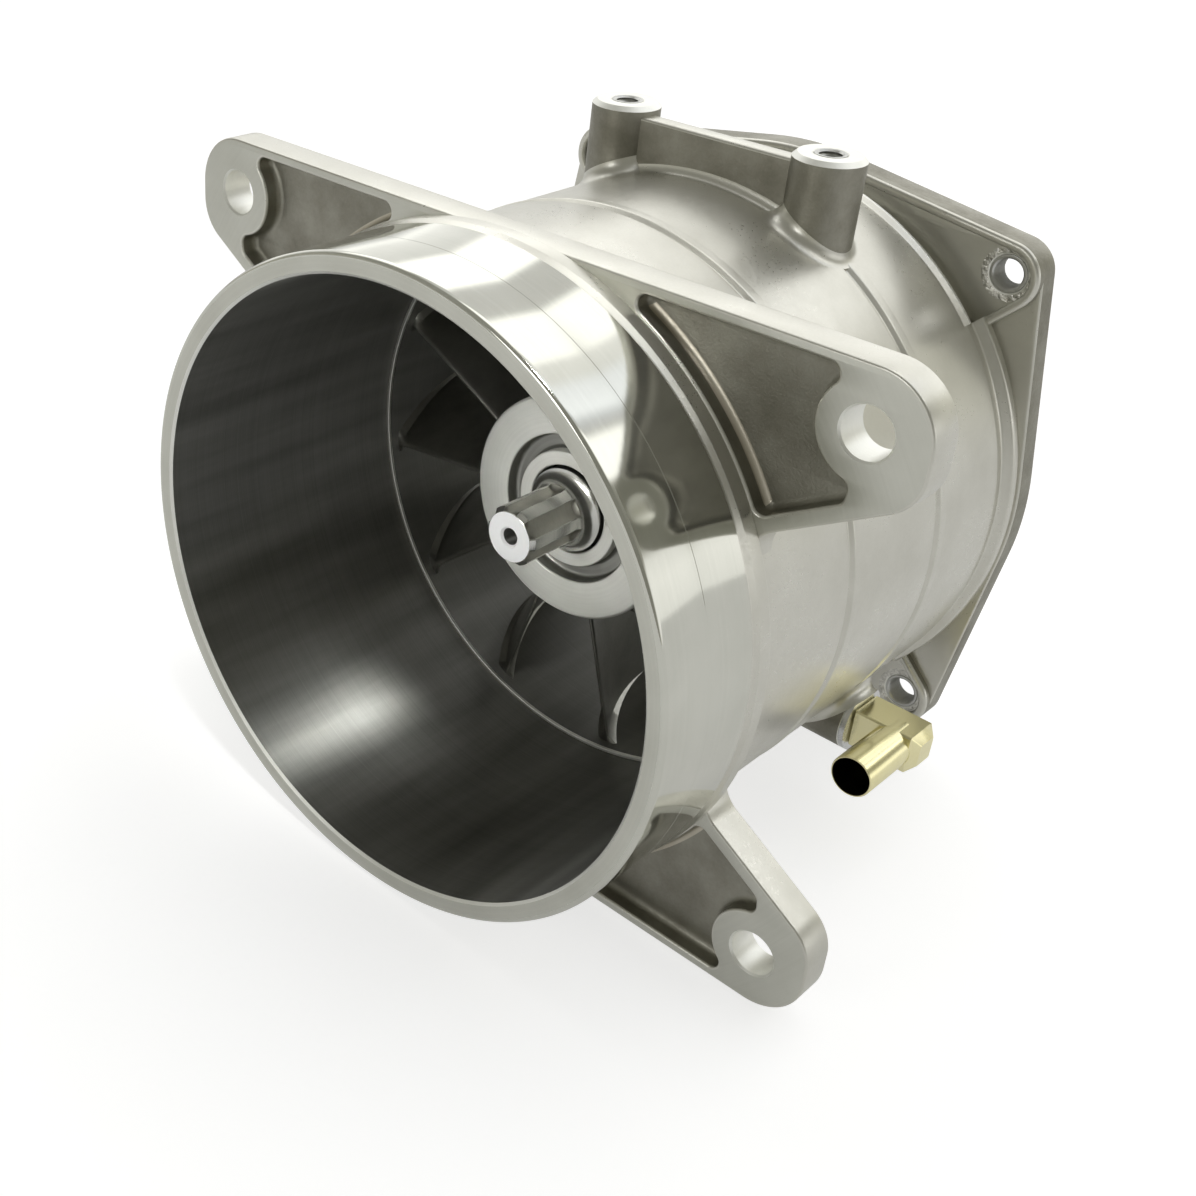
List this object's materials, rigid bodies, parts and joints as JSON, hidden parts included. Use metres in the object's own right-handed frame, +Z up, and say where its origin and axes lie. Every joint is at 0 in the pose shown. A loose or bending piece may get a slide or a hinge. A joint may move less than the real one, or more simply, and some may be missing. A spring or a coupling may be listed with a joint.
{
  "type": "jet pump",
  "caption": "Axial jet pump stage: cast housing with corner ears and a square rear flange, vaned stator, splined drive shaft on ball bearings, tail cone and brass hose elbow.",
  "frame": {"origin": "on the pump axis, in the front face of the four mounting ears", "axes": "+Y along the pump axis from the mouth to the rear flange, +Z up through the two posts, +X to the side with the hose elbow"},
  "size_m": [0.2244, 0.2, 0.1845],
  "materials": {
    "cast_alloy": "cast aluminium, shot blasted and machined at the faces",
    "machined_alloy": "turned and lightly polished",
    "dark_casting": "dark cast finish",
    "seal_rubber": "nitrile rubber",
    "spring_steel": "spring steel",
    "bearing_steel": "ground",
    "ball_steel": "polished",
    "cage_steel": "pressed",
    "shaft_steel": "turned stainless steel",
    "cone_plastic": "glass filled nylon",
    "screw_steel": "stainless steel",
    "cone_plug_brass": "turned",
    "elbow_brass": "turned and bright dipped",
    "washer_steel": "stainless steel",
    "insert_steel": "stainless steel thread inserts"
  },
  "bodies": {
    "housing": {"pump_housing": "cast_alloy", "stator_shroud": "machined_alloy", "stator_vanes": "dark_casting", "stator_hub": "dark_casting", "seal_carrier": "machined_alloy", "carrier_oring": "seal_rubber", "outer_lip_seal": "seal_rubber", "inner_lip_seal": "seal_rubber", "garter_springs": "spring_steel", "front_outer_race": "bearing_steel", "rear_outer_race": "bearing_steel", "outer_spacer": "machined_alloy", "circlip": "spring_steel", "tail_cone": "cone_plastic", "cone_oring": "seal_rubber", "cone_screws": "screw_steel", "cone_plug": "cone_plug_brass", "brass_elbow": "elbow_brass", "elbow_washer": "washer_steel", "post_inserts": "insert_steel", "flange_inserts": "insert_steel"},
    "shaft": {"impeller_shaft": "shaft_steel", "front_inner_race": "bearing_steel", "rear_inner_race": "bearing_steel", "inner_spacer": "machined_alloy", "nut_washer": "shaft_steel", "shaft_nut": "shaft_steel"},
    "front_cage": {"front_cage": "cage_steel", "front_balls": "ball_steel"},
    "rear_cage": {"rear_cage": "cage_steel", "rear_balls": "ball_steel"}
  },
  "joints": [
    {"name": "shaft_spin", "type": "hinge", "parent": "housing", "child": "shaft", "pos_m": [0, 0, 0], "axis": [0, 1, 0], "continuous": true},
    {"name": "front_cage_spin", "type": "hinge", "parent": "housing", "child": "front_cage", "pos_m": [0, 0.066, 0], "axis": [0, 1, 0], "continuous": true},
    {"name": "rear_cage_spin", "type": "hinge", "parent": "housing", "child": "rear_cage", "pos_m": [0, 0.097, 0], "axis": [0, 1, 0], "continuous": true}
  ],
  "couplings": [
    {"joint": "front_cage_spin", "follows": "shaft_spin", "ratio": 0.3815},
    {"joint": "rear_cage_spin", "follows": "shaft_spin", "ratio": 0.3815}
  ]
}
